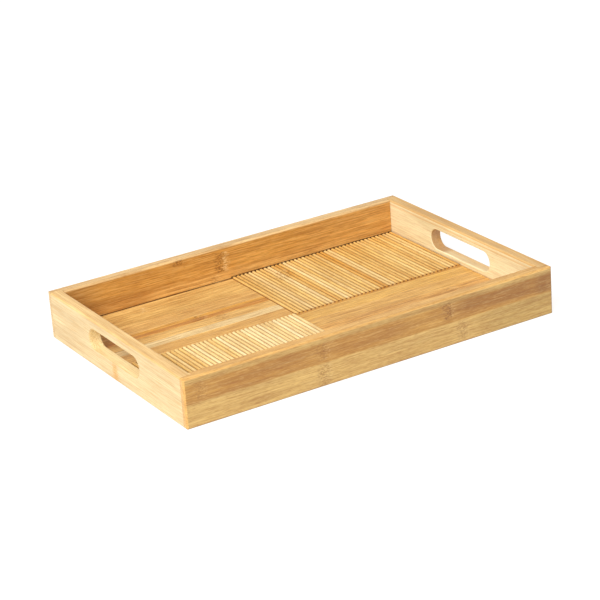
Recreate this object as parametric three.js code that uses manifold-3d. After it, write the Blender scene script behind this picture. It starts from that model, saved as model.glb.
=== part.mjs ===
// A bamboo serving tray, in millimetres, +Z up, standing on the plane z = 0 with its middle on the Z axis.
//
// Four boards make the rim: two long boards (front and back), rabbeted at their ends, lap the ends of two
// end boards, each with a stadium-shaped hand slot. A thin base panel is housed in grooves in all four
// boards. On it lies a floor of two flat panels, in strips along X, and two reeded panels, in ribbed
// strips along Y, placed like a chequer. Two hidden dowels hold each corner.

import * as THREE from 'three';
import { mergeVertices } from 'three/addons/utils/BufferGeometryUtils.js';
import Module from 'manifold-3d';

// Rim
const LENGTH = 400;
const WIDTH = 270;
const HEIGHT = 48;
const WALL = 12;
const TOP_ARRIS = 2;
const CORNER_ARRIS = 2.5;
const FOOT_ARRIS = 1;
const GLUE_LINE = 0.3;
const LAP = 6;

// Hand slots, through the end boards
const SLOT_LENGTH = 100;
const SLOT_HEIGHT = 21;
const SLOT_MIDDLE_Z = 28;
const SLOT_ARRIS = 1;

// Base panel and its groove
const BASE_BOTTOM = 6.5;
const BASE_THICK = 3;
const GROOVE_DEPTH = 4;
const GROOVE_CLEARANCE = 0.3;

// Floor
const FLAT_TOP = 12.5;
const GROOVE_FLOOR = 12.1;
const RIB_CREST = 14;
const SPLIT_X = -5.5;
const SPLIT_Y = 0;
const FLOOR_GAP = 0.3;
const BACK_STRIP_WIDTHS = [20, 20, 22, 13, 15, 12, 20.7];
const FRONT_STRIP_COUNT = 6;
const BACK_RIBS = 43;
const BACK_REEDED_STRIPS = 11;
const FRONT_RIBS = 41;
const FRONT_REEDED_STRIPS = 10;

// Corner dowels
const DOWEL_RADIUS = 1.5;
const DOWEL_CLEARANCE = 0.3;
const DOWEL_IN_END = 8;
const DOWEL_IN_LONG = 20;
const DOWEL_HEIGHTS = [19, 37];

// Fineness of curves
const ARRIS_STEPS = 8;
const SLOT_ARRIS_STEPS = 5;
const SLOT_STEPS = 12;
const RIB_STEPS = 6;
const DOWEL_SIDES = 16;

// How far cutters run past what they cut, and how near two corners are to count as one
const PAST = 5;
const WELD_DISTANCE = 0.0001;

const INNER_X = LENGTH / 2 - WALL;
const INNER_Y = WIDTH / 2 - WALL;
const LAP_Y = WIDTH / 2 - LAP;
const BASE_TOP = BASE_BOTTOM + BASE_THICK;
const FLOOR_BOTTOM = BASE_TOP + GLUE_LINE;

const wasm = await Module();
wasm.setup();

// ---- solids for cutting and joining -------------------------------------------------------------------

function toManifold(geometry) {
  const bare = geometry.index ? geometry.toNonIndexed() : geometry.clone();
  bare.deleteAttribute('normal');
  bare.deleteAttribute('uv');
  const merged = mergeVertices(bare, WELD_DISTANCE);
  return new wasm.Manifold(new wasm.Mesh({
    numProp: 3,
    vertProperties: new Float32Array(merged.attributes.position.array),
    triVerts: new Uint32Array(merged.index.array),
  }));
}

function toGeometry(solid) {
  const mesh = solid.getMesh();
  const geometry = new THREE.BufferGeometry();
  geometry.setAttribute('position', new THREE.BufferAttribute(new Float32Array(mesh.vertProperties), 3));
  geometry.setIndex(new THREE.BufferAttribute(new Uint32Array(mesh.triVerts), 1));
  geometry.computeVertexNormals();
  return geometry;
}

function boxGeometry(low, high) {
  const size = high.map((value, axis) => value - low[axis]);
  const middle = high.map((value, axis) => (value + low[axis]) / 2);
  return new THREE.BoxGeometry(...size).translate(...middle);
}

const boxSolid = (low, high) => toManifold(boxGeometry(low, high));

function extrude(shape, depth, curveSegments) {
  const settings = { depth, bevelEnabled: false, curveSegments, steps: 1 };
  return new THREE.ExtrudeGeometry(shape, settings).translate(0, 0, -depth / 2);
}

// The extrusion runs along Z; these two turn it so that the drawn section stands upright.
// alongY: drawing x -> X, drawing y -> Z.  alongX: drawing x -> Y, drawing y -> Z.
const alongY = (geometry) => geometry.rotateX(Math.PI / 2);
const alongX = (geometry) => geometry.rotateX(Math.PI / 2).rotateZ(Math.PI / 2);

// A rectangle standing on y = 0 whose bottom and top corners are rounded by their own radii.
function easedRectangle(width, height, footRadius, topRadius) {
  const half = width / 2;
  const shape = new THREE.Shape();
  shape.moveTo(-half + footRadius, 0);
  shape.lineTo(half - footRadius, 0);
  shape.absarc(half - footRadius, footRadius, footRadius, -Math.PI / 2, 0);
  shape.lineTo(half, height - topRadius);
  shape.absarc(half - topRadius, height - topRadius, topRadius, 0, Math.PI / 2);
  shape.lineTo(-half + topRadius, height);
  shape.absarc(-half + topRadius, height - topRadius, topRadius, Math.PI / 2, Math.PI);
  shape.lineTo(-half, footRadius);
  shape.absarc(-half + footRadius, footRadius, footRadius, Math.PI, Math.PI * 1.5);
  return shape;
}

// The section of the tray's inside: straight walls that flare out over the rounded inner arris.
function flaredOpening(width) {
  const half = width / 2;
  const arrisZ = HEIGHT - TOP_ARRIS;
  const shape = new THREE.Shape();
  shape.moveTo(-half, -PAST);
  shape.lineTo(half, -PAST);
  shape.lineTo(half, arrisZ);
  shape.absarc(half + TOP_ARRIS, arrisZ, TOP_ARRIS, Math.PI, Math.PI / 2, true);
  shape.lineTo(half + TOP_ARRIS, HEIGHT + PAST);
  shape.lineTo(-half - TOP_ARRIS, HEIGHT + PAST);
  shape.lineTo(-half - TOP_ARRIS, HEIGHT);
  shape.absarc(-half - TOP_ARRIS, arrisZ, TOP_ARRIS, Math.PI / 2, 0, true);
  return shape;
}

// The whole rim as one ring, with every arris eased as if it were sanded after gluing up.
function rimRing() {
  const side = extrude(easedRectangle(LENGTH, HEIGHT, FOOT_ARRIS, TOP_ARRIS), WIDTH, ARRIS_STEPS);
  const end = extrude(easedRectangle(WIDTH, HEIGHT, FOOT_ARRIS, TOP_ARRIS), LENGTH, ARRIS_STEPS);
  const plan = extrude(easedRectangle(LENGTH, WIDTH, CORNER_ARRIS, CORNER_ARRIS), 2 * HEIGHT, ARRIS_STEPS);
  const block = toManifold(alongY(side))
    .intersect(toManifold(alongX(end)))
    .intersect(toManifold(plan.translate(0, -WIDTH / 2, HEIGHT / 2)));
  const insideSide = extrude(flaredOpening(2 * INNER_X), WIDTH + PAST, ARRIS_STEPS);
  const insideEnd = extrude(flaredOpening(2 * INNER_Y), LENGTH + PAST, ARRIS_STEPS);
  const inside = toManifold(alongY(insideSide)).intersect(toManifold(alongX(insideEnd)));
  return block.subtract(inside);
}

// A stadium whose straight sides run along X.
function stadium(length, height) {
  const radius = height / 2;
  const straight = length / 2 - radius;
  const shape = new THREE.Shape();
  shape.moveTo(-straight, -radius);
  shape.lineTo(straight, -radius);
  shape.absarc(straight, 0, radius, -Math.PI / 2, Math.PI / 2);
  shape.lineTo(-straight, radius);
  shape.absarc(-straight, 0, radius, Math.PI / 2, Math.PI * 1.5);
  return shape;
}

// The body that cuts one hand slot: a stadium section along X that widens by a quarter circle towards
// each face of the board, so that the slot's edges come out rounded. It is built ring by ring.
function handSlot(signX) {
  const rings = [];
  const half = WALL / 2;
  for (let step = 0; step <= SLOT_ARRIS_STEPS; step += 1) {
    const angle = Math.PI / 2 * step / SLOT_ARRIS_STEPS;
    const depth = half - SLOT_ARRIS + SLOT_ARRIS * Math.sin(angle);
    rings.push([depth, SLOT_ARRIS * (1 - Math.cos(angle))]);
  }
  rings.push([half + PAST, SLOT_ARRIS]);
  const outline = stadium(SLOT_LENGTH, SLOT_HEIGHT).extractPoints(SLOT_STEPS).shape;
  const stack = [...rings.map(([x, grow]) => [-x, grow]).reverse(), ...rings];
  const straight = SLOT_LENGTH / 2 - SLOT_HEIGHT / 2;
  const positions = [];
  for (const [x, grow] of stack) {
    for (const point of outline) {
      const middle = Math.sign(point.x) * straight;
      const stretch = (SLOT_HEIGHT / 2 + grow) / (SLOT_HEIGHT / 2);
      positions.push(x, middle + (point.x - middle) * stretch, point.y * stretch);
    }
  }
  const count = outline.length;
  const indices = [];
  for (let ring = 0; ring < stack.length - 1; ring += 1) {
    for (let k = 0; k < count; k += 1) {
      const a = ring * count + k;
      const b = ring * count + (k + 1) % count;
      indices.push(a, b, b + count, a, b + count, a + count);
    }
  }
  const last = (stack.length - 1) * count;
  for (let k = 1; k < count - 1; k += 1) {
    indices.push(0, k + 1, k, last, last + k, last + k + 1);
  }
  const geometry = new THREE.BufferGeometry();
  geometry.setAttribute('position', new THREE.Float32BufferAttribute(positions, 3));
  geometry.setIndex(indices);
  geometry.translate(signX * (INNER_X + half), 0, SLOT_MIDDLE_Z);
  return toManifold(geometry);
}

function basePanelBox(clearance) {
  const reachX = INNER_X + GROOVE_DEPTH - GROOVE_CLEARANCE + clearance;
  const reachY = INNER_Y + GROOVE_DEPTH - GROOVE_CLEARANCE + clearance;
  return [
    [-reachX, -reachY, BASE_BOTTOM - clearance],
    [reachX, reachY, BASE_TOP + clearance],
  ];
}

// ---- corner dowels -------------------------------------------------------------------------------------

function dowelPlaces() {
  const places = [];
  for (const [endName, signX] of [['left', -1], ['right', 1]]) {
    for (const [longName, signY] of [['front', -1], ['back', 1]]) {
      DOWEL_HEIGHTS.forEach((z, level) => {
        const y = signY * (INNER_Y + LAP_Y) / 2;
        places.push({ name: `dowel_${longName}_${endName}_${level + 1}`, signX, y, z });
      });
    }
  }
  return places;
}

// A round bar along X across the joint; extra lengthens and widens it into the hole that takes it.
function dowelGeometry({ signX, y, z }, extra) {
  const outer = INNER_X + DOWEL_IN_END + extra;
  const inner = INNER_X - DOWEL_IN_LONG - extra;
  const radius = DOWEL_RADIUS + extra;
  return new THREE.CylinderGeometry(radius, radius, outer - inner, DOWEL_SIDES)
    .rotateZ(Math.PI / 2)
    .translate(signX * (outer + inner) / 2, y, z);
}

// ---- boards --------------------------------------------------------------------------------------------

function cutRim() {
  let rim = rimRing()
    .subtract(handSlot(-1))
    .subtract(handSlot(1))
    .subtract(boxSolid(...basePanelBox(GROOVE_CLEARANCE)));
  for (const place of dowelPlaces()) {
    rim = rim.subtract(toManifold(dowelGeometry(place, DOWEL_CLEARANCE)));
  }
  return rim;
}

// A long board is everything on its side of the tray between the end boards, with the outer half of its
// thickness running on across their ends.
function longBoardZone(signY) {
  const reach = INNER_X - GLUE_LINE;
  const between = boxGeometry([-reach, PAST, -PAST], [reach, WIDTH, HEIGHT + PAST]);
  const lap = boxGeometry([-LENGTH, LAP_Y + GLUE_LINE, -PAST], [LENGTH, WIDTH, HEIGHT + PAST]);
  const turn = signY > 0 ? 0 : Math.PI;
  return toManifold(between.rotateZ(turn)).add(toManifold(lap.rotateZ(turn)));
}

function endBoardZone(signX) {
  const zone = boxGeometry([INNER_X, -LAP_Y, -PAST], [LENGTH, LAP_Y, HEIGHT + PAST]);
  return toManifold(zone.rotateZ(signX > 0 ? 0 : Math.PI));
}

// ---- floor ---------------------------------------------------------------------------------------------

function flatStrip(lowX, highX, lowY, highY) {
  return boxGeometry([lowX, lowY, FLOOR_BOTTOM], [highX, highY, FLAT_TOP]);
}

// A strip moulded with a row of round-topped ribs, which run along Y. Each rib's section is an arc of an
// ellipse that springs from the groove floor.
function reededStrip(lowX, ribCount, pitch, lowY, highY) {
  const left = lowX + GLUE_LINE / 2;
  const right = lowX + ribCount * pitch - GLUE_LINE / 2;
  const rise = RIB_CREST - GROOVE_FLOOR;
  const shape = new THREE.Shape();
  shape.moveTo(left, FLOOR_BOTTOM);
  shape.lineTo(right, FLOOR_BOTTOM);
  for (let rib = ribCount - 1; rib >= 0; rib -= 1) {
    const from = Math.min(lowX + (rib + 1) * pitch, right);
    const to = Math.max(lowX + rib * pitch, left);
    for (let step = 0; step <= RIB_STEPS; step += 1) {
      const angle = Math.PI * step / RIB_STEPS;
      const across = (from + to) / 2 + (from - to) / 2 * Math.cos(angle);
      const isSharedGroove = step === 0 && rib < ribCount - 1;
      if (!isSharedGroove) {
        shape.lineTo(across, GROOVE_FLOOR + rise * Math.sin(angle));
      }
    }
  }
  shape.closePath();
  return alongY(extrude(shape, highY - lowY, 1)).translate(0, (lowY + highY) / 2, 0);
}

// Strips side by side from lowX to highX, sharing the ribs out as evenly as whole ribs allow.
function reededPanel(name, ribs, strips, lowX, highX, lowY, highY) {
  const pitch = (highX - lowX) / ribs;
  const pieces = [];
  for (let strip = 0; strip < strips; strip += 1) {
    const first = Math.round(strip * ribs / strips);
    const next = Math.round((strip + 1) * ribs / strips);
    const geometry = reededStrip(lowX + first * pitch, next - first, pitch, lowY, highY);
    pieces.push([`${name}_${String(strip + 1).padStart(2, '0')}`, geometry]);
  }
  return pieces;
}

// Strips laid from the high Y side towards the low one.
function flatPanel(name, widths, lowX, highX, highY) {
  const pieces = [];
  let top = highY;
  widths.forEach((width, strip) => {
    const geometry = flatStrip(lowX, highX, top - width + GLUE_LINE, top);
    pieces.push([`${name}_${strip + 1}`, geometry]);
    top -= width;
  });
  return pieces;
}

// ---- materials -----------------------------------------------------------------------------------------

const bamboo = (colour, roughness = 0.5) => () => (
  new THREE.MeshStandardMaterial({ color: colour, roughness, metalness: 0 })
);
const FINISH = {
  longBoard: bamboo(0xd9a460),
  endBoard: bamboo(0xf2cf90),
  base: bamboo(0xc99a5c, 0.7),
  flat: bamboo(0xdba45a),
  reeded: bamboo(0xe9bd78),
  dowel: bamboo(0xdcc39a, 0.8),
};

// ---- the tray ------------------------------------------------------------------------------------------

const group = new THREE.Group();

function add(name, geometry, finish) {
  const mesh = new THREE.Mesh(geometry, finish());
  mesh.name = name;
  group.add(mesh);
}

const rim = cutRim();
add('front_board', toGeometry(rim.intersect(longBoardZone(-1))), FINISH.longBoard);
add('back_board', toGeometry(rim.intersect(longBoardZone(1))), FINISH.longBoard);
add('left_end_board', toGeometry(rim.intersect(endBoardZone(-1))), FINISH.endBoard);
add('right_end_board', toGeometry(rim.intersect(endBoardZone(1))), FINISH.endBoard);
add('base_panel', boxGeometry(...basePanelBox(0)), FINISH.base);

for (const place of dowelPlaces()) {
  add(place.name, dowelGeometry(place, 0), FINISH.dowel);
}

const wallX = INNER_X - FLOOR_GAP;
const wallY = INNER_Y - FLOOR_GAP;
const beforeX = SPLIT_X - FLOOR_GAP / 2;
const afterX = SPLIT_X + FLOOR_GAP / 2;
const beforeY = SPLIT_Y - FLOOR_GAP / 2;
const afterY = SPLIT_Y + FLOOR_GAP / 2;

const backWidth = wallY - afterY;
const drawnWidth = BACK_STRIP_WIDTHS.reduce((sum, width) => sum + width, 0);
const backWidths = BACK_STRIP_WIDTHS.map((width) => width * backWidth / drawnWidth);
const frontWidths = Array(FRONT_STRIP_COUNT).fill((beforeY + wallY) / FRONT_STRIP_COUNT);

const flatPieces = [
  ...flatPanel('flat_strip_back', backWidths, -wallX, beforeX, wallY),
  ...flatPanel('flat_strip_front', frontWidths, afterX, wallX, beforeY),
];
const reededPieces = [
  ...reededPanel('reeded_strip_back', BACK_RIBS, BACK_REEDED_STRIPS, afterX, wallX, afterY, wallY),
  ...reededPanel('reeded_strip_front', FRONT_RIBS, FRONT_REEDED_STRIPS, -wallX, beforeX, -wallY, beforeY),
];
flatPieces.forEach(([name, geometry]) => add(name, geometry, FINISH.flat));
reededPieces.forEach(([name, geometry]) => add(name, geometry, FINISH.reeded));

export default group;
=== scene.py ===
import math

import bmesh
import bpy
import numpy as np
from mathutils import Matrix, Vector


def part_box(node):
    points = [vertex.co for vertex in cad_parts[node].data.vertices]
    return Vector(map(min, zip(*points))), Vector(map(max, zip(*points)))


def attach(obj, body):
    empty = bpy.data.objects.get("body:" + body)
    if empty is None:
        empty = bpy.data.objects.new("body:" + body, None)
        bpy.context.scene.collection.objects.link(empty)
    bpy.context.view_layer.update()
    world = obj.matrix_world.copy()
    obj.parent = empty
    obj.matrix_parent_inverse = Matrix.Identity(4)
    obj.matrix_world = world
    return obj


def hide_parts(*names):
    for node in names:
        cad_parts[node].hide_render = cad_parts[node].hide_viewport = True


# A bamboo serving tray, in metres, standing on z = 0 with its middle on the Z axis. Four laminated boards
# make the rim. The floor is a chequer of two panels of flat strips, whose grain runs along X, and two
# panels of reeded strips, whose half-round ribs run along Y.

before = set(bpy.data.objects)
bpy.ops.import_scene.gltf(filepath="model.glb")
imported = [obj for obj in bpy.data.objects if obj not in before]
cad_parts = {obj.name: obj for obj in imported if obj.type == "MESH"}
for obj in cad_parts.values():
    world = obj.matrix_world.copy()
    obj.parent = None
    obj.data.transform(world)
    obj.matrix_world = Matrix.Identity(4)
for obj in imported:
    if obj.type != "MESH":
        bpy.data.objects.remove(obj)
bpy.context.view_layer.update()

MM = 0.001

# ---- sizes, in millimetres ----------------------------------------------------------------------------------

PACKED_GAP = 0.3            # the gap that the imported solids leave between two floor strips
SEAM = 0.05                 # the hairline that is left of it here
WALL_GAP = 0.9              # the open joint between the floor and the back board
STRIP_EASE = 0.35           # radius of a flat strip's upper arrises
STRIP_EASE_STEPS = 4
RIB_RISE = 1.95             # from the foot of a rib's curve to its crest
RIB_GROOVE = 0.45           # width of the groove between two ribs, where their curves end
RIB_GROOVE_LEAN = 0.05      # how far each wall of the groove leans in on the way to its bottom
RIB_GROOVE_DEPTH = 0.9      # how far the groove goes below the foot of the ribs' curve
RIB_STEPS = 14
GROOVED = 3.7               # how far the base sheet runs into the back board
RIB_END_EASE = 0.3          # radius that rounds over a rib's ends
RIB_END_STEPS = 4
DIRT_AND_SHADE_END = 1.6             # how far from a rib's end the grooves are darker, with dirt and painted shade
WELD_DISTANCE = 0.002       # points of a board nearer than this are one point
BACK_RIBS = 43
BACK_REEDED_STRIPS = 11
FRONT_RIBS = 41
FRONT_REEDED_STRIPS = 10

# Folds sharper than this, in degrees, stay crisp.
BOARD_FOLD = 30
FLAT_FOLD = 40
RIB_FOLD = 50


# ---- making finishes ----------------------------------------------------------------------------------------

def hue(code):
    """A colour written as six hexadecimal digits, as the linear red, green, blue and alpha a shader takes."""
    parts = np.array([int(code[i:i + 2], 16) for i in (0, 2, 4)]) / 255
    linear = np.where(parts <= 0.04045, parts / 12.92, ((parts + 0.055) / 1.055) ** 2.4)
    return (*linear.tolist(), 1.0)


class Finish:
    """A material being made. Most methods add nodes and return the last one's output, so that calls nest."""

    def __init__(self, name, roughness, coat=0.0):
        self.material = bpy.data.materials.new(name)
        self.material.use_nodes = True
        self.nodes = self.material.node_tree.nodes
        self.links = self.material.node_tree.links
        self.shader = self.nodes["Principled BSDF"]
        self.shader.inputs["Roughness"].default_value = roughness
        self.shader.inputs["Coat Weight"].default_value = coat
        self.shader.inputs["Coat Roughness"].default_value = 0.3
        self.place = self.add("ShaderNodeTexCoord").outputs["Object"]
        self.axes = self.add("ShaderNodeSeparateXYZ", Vector=self.place).outputs

    def add(self, kind, settings=None, **inputs):
        """A node of that kind, with its settings, and its inputs joined or filled in by name."""
        node = self.nodes.new(kind)
        for key, value in (settings or {}).items():
            setattr(node, key, value)
        for key, value in inputs.items():
            self.fill(node.inputs[key.replace("_", " ")], value)
        return node

    def fill(self, socket, value):
        """Joins a socket to another node's output, or gives it a constant value."""
        if isinstance(value, bpy.types.NodeSocket):
            self.links.new(value, socket)
        else:
            socket.default_value = value

    def maths(self, operation, *values):
        """The result of one arithmetic operation."""
        node = self.nodes.new("ShaderNodeMath")
        node.operation = operation
        for socket, value in zip(node.inputs, values):
            self.fill(socket, value)
        return node.outputs[0]

    def spread(self, value, low, high, to_low, to_high):
        """value taken from low..high to to_low..to_high, held at the ends, with a soft start and finish."""
        node = self.add("ShaderNodeMapRange", {"interpolation_type": "SMOOTHSTEP"})
        for socket, number in zip(node.inputs, (value, low, high, to_low, to_high)):
            self.fill(socket, number)
        return node.outputs[0]

    def mix(self, share, first, second, how="MIX"):
        """The first colour turned into the second by share, or combined with it in another way."""
        node = self.add("ShaderNodeMix", {"data_type": "RGBA", "blend_type": how})
        self.fill(node.inputs[0], share)
        self.fill(node.inputs[6], first)
        self.fill(node.inputs[7], second)
        return node.outputs[2]

    def grain(self, run, along, across, detail, offset):
        """Noise from 0 to 1 in streaks about along mm long and across mm wide, which run along one axis."""
        sizes = [across, across, across]
        sizes["XYZ".index(run)] = along
        spot = self.add("ShaderNodeMapping", Vector=self.place)
        spot.inputs["Location"].default_value = offset
        spot.inputs["Scale"].default_value = [1000 / size for size in sizes]
        noise = self.add("ShaderNodeTexNoise", Vector=spot.outputs[0])
        noise.inputs["Scale"].default_value = 1.0
        noise.inputs["Detail"].default_value = detail
        noise.inputs["Roughness"].default_value = 0.55
        return noise.outputs["Fac"]

    def band(self, value, middle, half, soft):
        """One where value, in metres, is within half mm of middle mm, and nothing half + soft mm away."""
        distance = self.maths("ABSOLUTE", self.maths("SUBTRACT", value, middle * MM))
        return self.spread(distance, half * MM, (half + soft) * MM, 1.0, 0.0)

    def coordinate(self, axis):
        """The place along one axis of the piece, in metres."""
        return self.axes["XYZ".index(axis)]

    def bump(self, height, strength, depth_mm):
        """Shades the surface as if height raised it by up to depth_mm."""
        node = self.add("ShaderNodeBump")
        node.inputs["Strength"].default_value = strength
        node.inputs["Distance"].default_value = depth_mm * MM
        self.fill(node.inputs["Height"], height)
        self.links.new(node.outputs[0], self.shader.inputs["Normal"])

    def colour(self, value):
        """Gives the shader its colour and returns the material, now finished."""
        self.fill(self.shader.inputs["Base Color"], value)
        return self.material


PALE_FIBRE = "ffdf9c"
PALE_KNOT = "ffe3a8"


def bamboo(name, wood, run, seed, dark="96591f", knot="84501c", stains_and_painted_light=(), joints=(), knots=(), tone=None,
           contrast=1.0, pored=0.25, cloudy=0.08, roughness=0.42):
    """Lacquered bamboo whose grain runs along one axis.

    The wood colour is shaded by four grains: broad clouds, long streaks, thin fibres and short dark pores.
    cloudy is how much the clouds lighten and darken the wood, contrast how strong the streaks and fibres
    are, and pored the share of dark in a pore. dark is the colour of dark fibres and pores.
    wood is one colour for the whole piece; tone, where given, is a function of the finish that returns the
    wood's colour from point to point instead.
    The stains, each (colour, share, reach), are real stains and tone but also painted shade, shadow and
    highlight: within reach the wood leans towards the colour. reach gives from, to and the softness of the edge
    for each axis that bounds it.
    joints are (axis, place): a hairline of glue between two laminae.
    knots are (place along the grain, axis across it, middle, half height, darkness, paleness): the band of
    darker, crooked fibres, in the colour knot, that a bamboo node leaves across one lamina, with paler wood
    on its far side. Every place and softness is in millimetres.
    """
    f = Finish(name, roughness, coat=0.15)
    offset = (seed * 1.37, seed * 2.11, seed * 0.73)    # each seed starts the noise somewhere else
    clouds = f.grain(run, 75, 11, 2, offset)
    streaks = f.grain(run, 90, 1.3, 3, offset)
    fibres = f.grain(run, 24, 0.8, 3, offset)
    pores = f.grain(run, 5.5, 0.9, 2, offset)
    base = hue(wood) if tone is None else tone(f)
    for code, share, reach in stains_and_painted_light:
        part = share
        for axis, (low, high, soft) in reach.items():
            inside = f.band(f.coordinate(axis), (low + high) / 2, (high - low) / 2, soft)
            part = f.maths("MULTIPLY", part, inside)
        base = f.mix(part, base, hue(code))
    shade = f.spread(clouds, 0.30, 0.70, 1 - cloudy, 1 + cloudy)
    streak = f.spread(streaks, 0.30, 0.70, 1 - 0.16 * contrast, 1 + 0.11 * contrast)
    value = f.maths("MULTIPLY", shade, streak)
    warm = f.add("ShaderNodeCombineXYZ", X=value, Y=f.maths("POWER", value, 1.3),
                 Z=f.maths("POWER", value, 1.7)).outputs[0]
    look = f.mix(1.0, base, warm, "MULTIPLY")
    look = f.mix(f.spread(fibres, 0.46, 0.70, 0.0, 0.55 * contrast), look, hue(dark))
    look = f.mix(f.spread(fibres, 0.50, 0.28, 0.0, 0.20 * contrast), look, hue(PALE_FIBRE))
    look = f.mix(f.spread(pores, 0.50, 0.72, 0.0, pored), look, hue(dark))
    look = f.mix(f.spread(pores, 0.50, 0.30, 0.0, 0.3 * pored), look, hue(PALE_FIBRE))
    # A knot's bands wander along the grain: the dark one just before the node, the pale one just after it.
    crooked = f.maths("MULTIPLY", f.maths("SUBTRACT", f.grain(run, 9, 4.5, 2, offset), 0.5), 14 * MM)
    place = f.maths("ADD", f.coordinate(run), crooked)
    specks = f.grain(run, 2.6, 1.2, 3, offset)
    for along, axis, middle, half, browner, paler in knots:
        tall = f.band(f.coordinate(axis), middle, half, 2.5)
        near = f.maths("MULTIPLY", f.band(place, along - 1, 0.3, 9.5), tall)
        speck = f.spread(specks, 0.44, 0.60, 0.12 * browner, browner)
        look = f.mix(f.maths("MULTIPLY", near, speck), look, hue(knot))
        beyond = f.maths("MULTIPLY", f.band(place, along + 5, 0.3, 6.0), tall)
        glint = f.spread(specks, 0.52, 0.38, 0.0, paler)
        look = f.mix(f.maths("MULTIPLY", beyond, glint), look, hue(PALE_KNOT))
    for axis, spot in joints:
        line = f.maths("MULTIPLY", f.band(f.coordinate(axis), spot, 0.08, 0.25), 0.12)
        look = f.mix(line, look, hue(dark))
    f.bump(f.maths("ADD", f.maths("MULTIPLY", streaks, 0.6), fibres), 0.4, 0.12)
    f.fill(f.shader.inputs["Roughness"], f.spread(fibres, 0.3, 0.7, roughness - 0.05, roughness + 0.08))
    return f.colour(look)


# ---- making pieces ------------------------------------------------------------------------------------------

def finished(name, mesh, material, slot, *nodes):
    """Puts a finished mesh on the tray in place of the named solids."""
    piece = bpy.data.objects.new(name, mesh)
    bpy.context.scene.collection.objects.link(piece)
    mesh.materials.clear()
    mesh.materials.append(material)
    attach(piece, "root")
    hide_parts(*nodes)
    return piece


def smooth(mesh, degrees):
    """Shades a mesh as one smooth skin, apart from the folds sharper than that angle."""
    mesh.shade_smooth()
    mesh.set_sharp_from_angle(angle=math.radians(degrees))


def broad_faces_flat(piece):
    """Lets a piece's broad faces shade flat, so that only its eased arrises look round."""
    flats = piece.modifiers.new("broad_faces_flat", "WEIGHTED_NORMAL")
    flats.keep_sharp = True
    return piece


def board(name, node, material, slot):
    """A board's own solid, welded from loose triangles into one skin and shaded round its eased arrises."""
    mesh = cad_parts[node].data.copy()
    mesh.name = name
    shell = bmesh.new()
    shell.from_mesh(mesh)
    bmesh.ops.remove_doubles(shell, verts=shell.verts, dist=WELD_DISTANCE * MM)
    shell.to_mesh(mesh)
    shell.free()
    old_normals = mesh.attributes.get("custom_normal")
    if old_normals:
        mesh.attributes.remove(old_normals)
    smooth(mesh, BOARD_FOLD)
    return broad_faces_flat(finished(name, mesh, material, slot, node))


def skin(name, points):
    """A mesh over a grid of points[u, v]. It closes round in v, and a flat face closes each end in u."""
    count_u, count_v = points.shape[:2]
    index = np.arange(count_u * count_v).reshape(count_u, count_v)
    following = np.roll(index, -1, axis=1)
    quads = np.stack([index[:-1], following[:-1], following[1:], index[1:]], axis=-1).reshape(-1, 4)
    faces = quads.tolist() + [index[0][::-1].tolist(), index[-1].tolist()]
    mesh = bpy.data.meshes.new(name)
    mesh.from_pydata(points.reshape(-1, 3).tolist(), [], faces)
    mesh.update()
    return mesh


def facing_out(mesh):
    """Turns a closed mesh's faces outwards."""
    shell = bmesh.new()
    shell.from_mesh(mesh)
    bmesh.ops.recalc_face_normals(shell, faces=shell.faces)
    shell.to_mesh(mesh)
    shell.free()
    return mesh


def strip_box(node):
    """A floor strip's box in millimetres, grown sideways until only a hairline is left to its neighbour.

    Beside the back board the strip stops short instead, so that the joint stays open.
    """
    low, high = (np.array(corner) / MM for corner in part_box(node))
    grow = (PACKED_GAP - SEAM) / 2 * np.array([1, 1, 0])
    low, high = low - grow, high + grow
    high[1] = min(high[1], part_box("base_panel")[1][1] / MM - GROOVED - WALL_GAP)
    return low, high


def flat_strip(name, node, material):
    """A flat strip with its upper arrises eased.

    Ring k of its skin is the strip's outline at one height. Up to the arris the rings are full size. Over
    the arris, at angle a from level to upright, a ring is drawn in by r(1 - cos a) and stands r(1 - sin a)
    below the top.
    """
    low, high = strip_box(node)
    angles = np.linspace(0, np.pi / 2, STRIP_EASE_STEPS + 1)
    inset = np.concatenate([[0.0], STRIP_EASE * (1 - np.cos(angles))])
    height = np.concatenate([[low[2]], high[2] - STRIP_EASE * (1 - np.sin(angles))])
    corner_x = np.array([-1, 1, 1, -1])
    corner_y = np.array([-1, -1, 1, 1])
    middle, half = (low + high) / 2, (high - low) / 2
    points = np.empty((len(inset), 4, 3))
    points[..., 0] = middle[0] + corner_x * (half[0] - inset[:, None])
    points[..., 1] = middle[1] + corner_y * (half[1] - inset[:, None])
    points[..., 2] = height[:, None]
    mesh = facing_out(skin(name, points * MM))
    smooth(mesh, FLAT_FOLD)
    return broad_faces_flat(finished(name, mesh, material, "flat_strip", node))


def rib_profile(left, right, ribs, foot, crest):
    """Across position, height and groove share of each profile point, for ribs side by side from left to right.

    A rib is half an ellipse: at angle a from 0 to 180 degrees it stands crest - foot times sin a above its
    foot. A flat-bottomed groove lies between two ribs, so the curve's half width is half the pitch less half
    the groove. The groove's walls lean in a little towards its bottom.
    """
    pitch = (right - left) / ribs
    angles = np.linspace(0, np.pi, RIB_STEPS + 1)
    half = (pitch - RIB_GROOVE) / 2
    arc_x = -np.cos(angles) * half
    arc_z = foot + (crest - foot) * np.sin(angles)
    bottom = foot - RIB_GROOVE_DEPTH
    one_x = np.concatenate([[-half - RIB_GROOVE_LEAN], arc_x, [half + RIB_GROOVE_LEAN]])
    one_z = np.concatenate([[bottom], arc_z, [bottom]])
    depth = 1 - (one_z - bottom) / (crest - bottom)
    middles = left + pitch * (np.arange(ribs) + 0.5)
    across = (middles[:, None] + one_x).ravel()
    return across, np.tile(one_z, ribs), np.tile(depth, ribs), np.repeat(np.arange(ribs), len(one_x))


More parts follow.
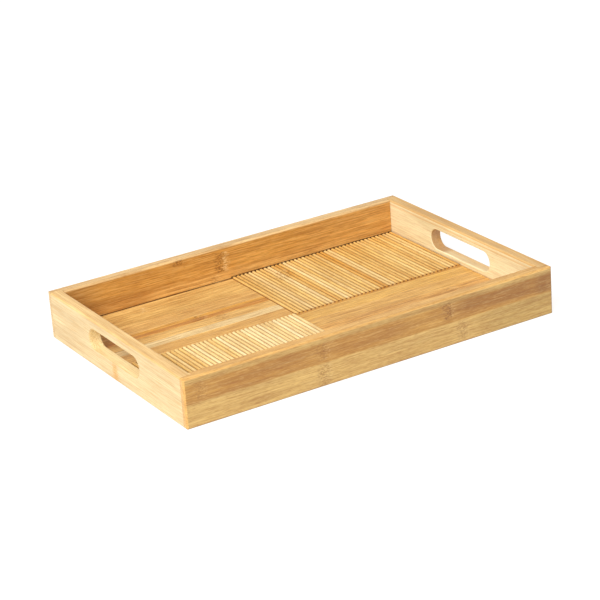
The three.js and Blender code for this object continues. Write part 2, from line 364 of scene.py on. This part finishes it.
def reeded_strip(name, node, material, tones, groove_dirt_and_shade):
    """A strip moulded with a row of ribs along Y, their ends slightly rounded over.

    The profile is carried along Y. Within r of an end, at distance d from it, every point above the groove
    is lowered by r - sqrt(r^2 - (r - d)^2), but never below the groove's bottom. The skin then goes down the
    end and back along the underside. tones gives each rib's shade. The grooves are darkened by the given
    dirt-and-shade share times their depth, and doubly at the ends: dirt and painted shade in the hollows.
    """
    low, high = strip_box(node)
    ribs = len(tones)
    crest, foot = high[2], high[2] - RIB_RISE
    across, height, depth, rib = rib_profile(low[0], high[0], ribs, foot, crest)
    bottom = height.min()
    t = np.linspace(0, 1, RIB_END_STEPS + 1)
    near = RIB_END_EASE * (1 - np.cos(t * np.pi / 2))
    drop = RIB_END_EASE - np.sqrt(np.maximum(RIB_END_EASE ** 2 - (RIB_END_EASE - near) ** 2, 0))
    near, drop = np.append(near, DIRT_AND_SHADE_END), np.append(drop, 0.0)
    along = np.concatenate([low[1] + near, (high[1] - near)[::-1]])
    drops = np.concatenate([drop, drop[::-1]])
    ends = np.append(np.minimum(along - low[1], high[1] - along) < DIRT_AND_SHADE_END / 2, [True, True])
    grooves = np.clip(depth[:, None] * groove_dirt_and_shade * (1 + ends), 0, 1)
    stations = len(along)
    points = np.empty((len(across), stations + 2, 3))
    points[..., 0] = across[:, None]
    points[:, :stations, 1] = along
    points[:, :stations, 2] = np.maximum(height[:, None] - drops, bottom)
    points[:, stations, 1], points[:, stations + 1, 1] = high[1], low[1]
    points[:, stations:, 2] = low[2]
    mesh = facing_out(skin(name, points * MM))
    for key, values in (("tone", np.repeat(np.array(tones)[rib], stations + 2)), ("groove", grooves.ravel())):
        layer = mesh.attributes.new(key, "FLOAT", "POINT")
        layer.data.foreach_set("value", values.astype(np.float32))
    smooth(mesh, RIB_FOLD)
    return finished(name, mesh, material, "reeded_strip", node)


# ---- finishes -----------------------------------------------------------------------------------------------

FRONT_SPLIT = 23.6          # height at which a long board's two laminae meet
BACK_SPLIT = 21.5
RIBS_START_X = -5.5         # where the back reeded panel begins
INSIDE = 124.2              # half the distance between the long boards' inner faces, and a little more

# Reaches along one axis or more, each as from, to and softness, in millimetres.
TOP = (46.6, 60, 1.0)               # the top face of a board, and a little of its arrises
FLOOR_JOINT_SHADE = (11, 12.95, 0.35)      # the painted shade in the joint where a wall meets the flat panels
RIB_JOINT_SHADE = (11, 14.2, 0.3)          # and the ribs, which stand higher
CONTACT_SHADOW_EDGE = (-1, 0.7, 0.6)        # the underside of a board and a little of its arrises, where a painted contact shadow goes
SLOT_WALL = {"Y": (-51, 51, 0.5), "Z": (16.8, 39.2, 0.5)}
SLOT_BACK_END = {"Y": (33, 51, 10), "Z": (16.8, 39.2, 0.5)}

front_bamboo = bamboo(
    "bamboo_front_board", "cea55b", "X", 3, contrast=0.7, pored=0.34, cloudy=0.10,
    stains_and_painted_light=[
        ("b9812c", 0.80, {"Z": (FRONT_SPLIT, 60, 1.6)}),
        ("a46a1d", 0.45, {"Z": (28, 40, 7), "X": (-150, -90, 35)}),
        ("a46a1d", 0.50, {"Z": (29, 40, 7), "X": (-30, 15, 35)}),
        ("925a16", 0.62, {"Z": (29, 41, 7), "X": (105, 165, 30)}),
        ("84501a", 0.60, {"Z": (26, 45, 4), "X": (188, 201, 14)}),
        ("ae8a44", 0.60, {"Z": (0, 22, 2), "X": (150, 210, 60)}),
        # Painted highlight: a paler band along the front face's rounded top arris.
        ("cba862", 0.65, {"Z": (43.5, 46, 3.5), "Y": (-140, -130, 2)}),
        ("e3b064", 0.90, {"Z": TOP}),
        # Painted shade on the inner top arris, which turns away from the light.
        ("c98a3c", 0.75, {"Z": (45.6, 60, 0.6), "Y": (-124.6, -110, 0.7)}),
        ("e0ac5e", 0.90, {"X": (-201, -199.0, 1.0)}),
        ("94652c", 0.55, {"X": (198.6, 201, 1.0)}),
        # Painted shade in the joint with the flat panels.
        ("6b3d12", 0.60, {"Z": FLOOR_JOINT_SHADE, "Y": (-INSIDE, INSIDE, 0.3)}),
        # Painted contact shadow along the bottom edge.
        ("7d5528", 0.55, {"Z": CONTACT_SHADOW_EDGE}),
    ],
    joints=[("Z", FRONT_SPLIT)],
    knots=[(-184, "Z", 34, 7, 0.45, 0.10), (-57.5, "Z", 34, 7, 0.55, 0.15), (80, "Z", 35, 7, 0.85, 0.10),
           (-57.5, "Z", 11, 9, 0.55, 0.15), (95, "Z", 12, 8, 0.50, 0.10)])
back_bamboo = bamboo(
    "bamboo_back_board", "e9b05f", "X", 8, contrast=1.0,
    stains_and_painted_light=[
        ("e1a552", 0.80, {"Z": (BACK_SPLIT, 60, 1.2)}),
        ("d99b42", 0.50, {"X": (-130, 60, 50), "Z": (26, 44, 5)}),
        # Painted shadow of the left board on the inner face, darkest at the left end.
        ("8a5220", 0.50, {"X": (-200, -185, 45), "Z": (0, 45, 2), "Y": (100, 124.5, 0.5)}),
        # Low down towards the left end: partly darker wood, partly painted shadow of the left board.
        ("b0722e", 0.60, {"X": (-190, -110, 30), "Z": (0, 22, 8), "Y": (100, 124.5, 0.5)}),
        ("ecc68a", 0.85, {"Z": TOP}),
        ("dcc08c", 0.80, {"X": (-201, -199.0, 1.0)}),
        # Painted shade in the joints with the flat panels and the ribs.
        ("5e3510", 0.85, {"Z": FLOOR_JOINT_SHADE, "Y": (-INSIDE, INSIDE, 0.3)}),
        ("4a2809", 0.90, {"Z": RIB_JOINT_SHADE, "X": (RIBS_START_X, 190, 0.5), "Y": (-INSIDE, INSIDE, 0.3)}),
    ],
    joints=[("Z", BACK_SPLIT)],
    knots=[(-15.5, "Z", 32.5, 9, 0.80, 0.55), (-25.5, "Z", 15, 4, 0.60, 0.25), (-63, "Z", 44, 1.5, 0.8, 0)])
left_bamboo = bamboo(
    "bamboo_left_end", "d9bd87", "Y", 12, dark="c48a3c", contrast=0.75, pored=0.15,
    stains_and_painted_light=[
        ("eabf7c", 0.85, {"Z": TOP}),
        # Painted light: the slot's walls are paler to make up for the shade inside the slot.
        ("f6dda2", 0.80, {"X": (-199, -189, 0.6), **SLOT_WALL}),
        ("d89a36", 0.45, {"Y": (-1, 3, 4.0), "Z": (2, 16, 2), "X": (-201, -195, 1)}),
        # Painted shade in the joint with the flat panels.
        ("8a5220", 0.50, {"Z": FLOOR_JOINT_SHADE, "X": (-189, 189, 0.4)}),
        # Painted contact shadow along the bottom edge.
        ("a87f46", 0.45, {"Z": CONTACT_SHADOW_EDGE}),
    ],
    knot="cc9028", knots=[(1, "Z", 8, 6.5, 0.85, 0.0)])
# Painted light: the wood colour is a paler copy of the outer face's tone, lightening the inner face as if more
# light reached it.
right_bamboo = bamboo(
    "bamboo_right_end", "f2e4b8", "Y", 17, dark="c98a3c", contrast=0.6, pored=0.15,
    stains_and_painted_light=[
        ("dfb97c", 0.95, {"X": (196, 201, 2.0)}),
        # Painted contact shadow along the bottom edge.
        ("cfa56a", 0.90, {"Z": CONTACT_SHADOW_EDGE}),
        ("dfae66", 0.50, {"Z": (42.6, 43.8, 0.6), "X": (180, 190, 1.0)}),
        ("d8a65c", 0.85, {"Z": TOP}),
        ("e6c48a", 0.60, {"X": (189, 199, 0.6), **SLOT_WALL}),
        ("b07a3a", 0.65, {"X": (189, 199, 0.6), **SLOT_BACK_END}),
        # Painted shade in the joints with the flat panels and the ribs.
        ("a0662c", 0.45, {"Z": FLOOR_JOINT_SHADE, "X": (-189, 189, 0.4)}),
        ("a0662c", 0.25, {"Z": RIB_JOINT_SHADE, "Y": (0, 125, 0.5), "X": (-189, 189, 0.4)}),
    ])


def rib_tone(f):
    """A rib's own shade, from dark orange through tan to cream, browner down in the grooves with dirt and
    painted shade.
    """
    shade = f.add("ShaderNodeAttribute", {"attribute_name": "tone"}).outputs["Fac"]
    groove = f.add("ShaderNodeAttribute", {"attribute_name": "groove"}).outputs["Fac"]
    ramp = f.add("ShaderNodeValToRGB", Fac=shade)
    steps = [(0.0, "b8742a"), (0.3, "da9c40"), (0.6, "efc370"), (1.0, "fbe3ab")]
    stops = ramp.color_ramp.elements
    for number, (place, code) in enumerate(steps):
        stop = stops[number] if number < 2 else stops.new(place)
        stop.position = place
        stop.color = hue(code)
    # Dirt and painted shade, darker the deeper the groove.
    return f.mix(f.spread(groove, 0.06, 0.60, 0.0, 0.94), ramp.outputs[0], hue("7c4513"))


RIB_KNOTS = [(88, "X", 34, 8, 0.50, 0.30), (100, "X", 40, 7, 0.45, 0.30)]
ribbed_bamboo = bamboo("bamboo_reeded", None, "Y", 21, tone=rib_tone, contrast=0.6, knots=RIB_KNOTS)

# Painted shadow of the left board: the rear flat strips darken towards the left end.
LEFT_BOARD_SHADOW = ("b87330", 0.40, {"X": (-189, -172, 38)})

# Flat strips, from the back board forwards: colour, grain contrast, knots, and stains, some of them painted
# shadow.
BACK_FLATS = [
    ("e4b76a", 1.3, [(-118, "Y", 108, 5, 0.20, 0.70)], [LEFT_BOARD_SHADOW]),
    ("e3b467", 1.3, [], [LEFT_BOARD_SHADOW]),
    ("e3b064", 1.5, [], [LEFT_BOARD_SHADOW]),
    ("df9f3c", 1.3, [(-81, "Y", 54, 5, 1.0, 0.2)], [LEFT_BOARD_SHADOW, ("b8702a", 0.7, {"Y": (50, 54, 3)})]),
    ("e5b363", 1.3, [(-62, "Y", 42, 5, 0.5, 0.2)], []),
    ("edcd90", 1.1, [(-122, "Y", 29, 5, 0.10, 0.80)], []),
    ("e3ad5a", 1.4, [], []),
]
FRONT_FLATS = [
    ("e7b256", 1.3, [], [("c4832f", 0.7, {"Y": (-2.5, 2, 1.5)})]),
    ("e6b15c", 1.3, [], []),
    ("e1a753", 1.5, [(143, "Y", -48, 5, 0.45, 0.30)], []),
    ("e2aa56", 1.3, [], []),
    ("dea452", 1.3, [], []),
    ("e0a856", 1.3, [], []),
]

base_bamboo = bamboo("bamboo_base_sheet", "c99a5c", "X", 30, contrast=1.2, roughness=0.6)
beech = bamboo("beech_dowel", "dcc39a", "X", 33, dark="b08b5a", contrast=0.8, roughness=0.7)


# ---- pieces -------------------------------------------------------------------------------------------------

board("front_rail", "front_board", front_bamboo, "long_board")
board("back_rail", "back_board", back_bamboo, "long_board")
board("left_end", "left_end_board", left_bamboo, "end_board")
board("right_end", "right_end_board", right_bamboo, "end_board")

for place, flats in (("back", BACK_FLATS), ("front", FRONT_FLATS)):
    for number, (code, contrast, knots, stains_and_painted_light) in enumerate(flats, 1):
        wood = bamboo(f"bamboo_flat_{place}_{number}", code, "X", 40 + number + 10 * (place == "front"),
                      contrast=contrast, knots=knots, stains_and_painted_light=stains_and_painted_light)
        flat_strip(f"flat_{place}_{number}", f"flat_strip_{place}_{number}", wood)

# Shade of each group of ribs, from left to right: number of ribs and shade, 0 dark orange to 1 cream.
BACK_SHADES = [(4, 0.65), (6, 0.68), (2, 0.52), (3, 0.67), (4, 0.72), (3, 0.62), (2, 0.38), (3, 0.67),
               (6, 0.58), (3, 0.69), (7, 0.61)]
FRONT_SHADES = [(8, 0.64), (13, 0.70), (3, 0.82), (3, 0.76), (14, 0.90)]

RIB_VARIETY = 0.09          # how far single ribs stray from the shade of their group
rng = np.random.default_rng(5)


def reeded_panel(place, ribs, strips, groups, groove_dirt_and_shade):
    """Shares the ribs out to the strips as evenly as whole ribs allow, and shades each rib."""
    shades = np.concatenate([np.full(count, shade) for count, shade in groups])
    shades = np.clip(shades + rng.normal(0, RIB_VARIETY, ribs), 0, 1)
    for strip in range(strips):
        first = int(strip * ribs / strips + 0.5)
        following = int((strip + 1) * ribs / strips + 0.5)
        label = f"{strip + 1:02d}"
        reeded_strip(f"reeded_{place}_{label}", f"reeded_strip_{place}_{label}", ribbed_bamboo,
                     shades[first:following], groove_dirt_and_shade)


reeded_panel("back", BACK_RIBS, BACK_REEDED_STRIPS, BACK_SHADES, groove_dirt_and_shade=1.0)
reeded_panel("front", FRONT_RIBS, FRONT_REEDED_STRIPS, FRONT_SHADES, groove_dirt_and_shade=0.75)

for name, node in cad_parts.items():
    if name == "base_panel":
        node.data.materials[0] = base_bamboo
    elif name.startswith("dowel"):
        node.data.materials[0] = beech


# ---- floor, light and camera --------------------------------------------------------------------------------

FLOOR_HALF = 6.0            # metres from the middle of the floor to its edges
FLOOR_Z = -0.0002           # just under the tray, so that the two never share a plane
FLOOR_COLOUR = "969696"
FLOOR_GLOW = 0.82           # light of its own, which keeps the floor an even white
WORLD_LIGHT = 0.55


def studio_floor():
    """A plain pale sheet, wide enough to fill every view."""
    mesh = bpy.data.meshes.new("studio_floor")
    corners = [(x * FLOOR_HALF, y * FLOOR_HALF, FLOOR_Z) for x, y in ((-1, -1), (1, -1), (1, 1), (-1, 1))]
    mesh.from_pydata(corners, [], [(0, 1, 2, 3)])
    piece = bpy.data.objects.new("studio_floor", mesh)
    bpy.context.scene.collection.objects.link(piece)
    white = Finish("studio_white", 0.9)
    white.shader.inputs["Specular IOR Level"].default_value = 0.1
    white.shader.inputs["Emission Color"].default_value = (1, 1, 1, 1)
    white.shader.inputs["Emission Strength"].default_value = FLOOR_GLOW
    white.colour(hue(FLOOR_COLOUR))
    mesh.materials.append(white.material)


def lamp(name, azimuth, elevation, distance, size, power):
    """A square soft light that looks at the tray from that direction."""
    light = bpy.data.lights.new(name, "AREA")
    light.size = size
    light.energy = power
    a, e = math.radians(azimuth), math.radians(elevation)
    out = np.array([math.sin(a) * math.cos(e), -math.cos(a) * math.cos(e), math.sin(e)])
    piece = bpy.data.objects.new(name, light)
    bpy.context.scene.collection.objects.link(piece)
    piece.location = out * distance
    piece.rotation_euler = (-Vector(out)).to_track_quat("-Z", "Y").to_euler()


def studio_camera(azimuth, elevation, roll, distance, aside, above, lens):
    """A camera that looks along that direction, turned by roll about its own axis, then slid aside and up."""
    a, e, r = (math.radians(angle) for angle in (azimuth, elevation, roll))
    back = np.array([math.sin(a) * math.cos(e), -math.cos(a) * math.cos(e), math.sin(e)])
    level = np.cross([0, 0, 1], back)
    level = level / np.linalg.norm(level)
    upright = np.cross(back, level)
    side = level * math.cos(r) + upright * math.sin(r)
    top = upright * math.cos(r) - level * math.sin(r)
    place = aside * side + above * top + distance * back
    data = bpy.data.cameras.new("camera")
    data.lens = lens
    data.sensor_width = 36
    data.clip_start = 0.05
    data.clip_end = 50
    piece = bpy.data.objects.new("camera", data)
    bpy.context.scene.collection.objects.link(piece)
    piece.matrix_world = Matrix(np.vstack([np.column_stack([side, top, back, place]), [0, 0, 0, 1]]).tolist())
    bpy.context.scene.camera = piece


studio_floor()
lamp("key", azimuth=-62, elevation=45, distance=2.8, size=1.7, power=80)
world = bpy.data.worlds.new("studio")
world.use_nodes = True
world.node_tree.nodes["Background"].inputs["Color"].default_value = (1, 1, 1, 1)
world.node_tree.nodes["Background"].inputs["Strength"].default_value = WORLD_LIGHT
bpy.context.scene.world = world
bpy.context.scene.view_settings.view_transform = "Standard"
studio_camera(azimuth=-30.0, elevation=22.2, roll=-4.3, distance=2.149, aside=-0.00117, above=0.0239,
              lens=134.1)
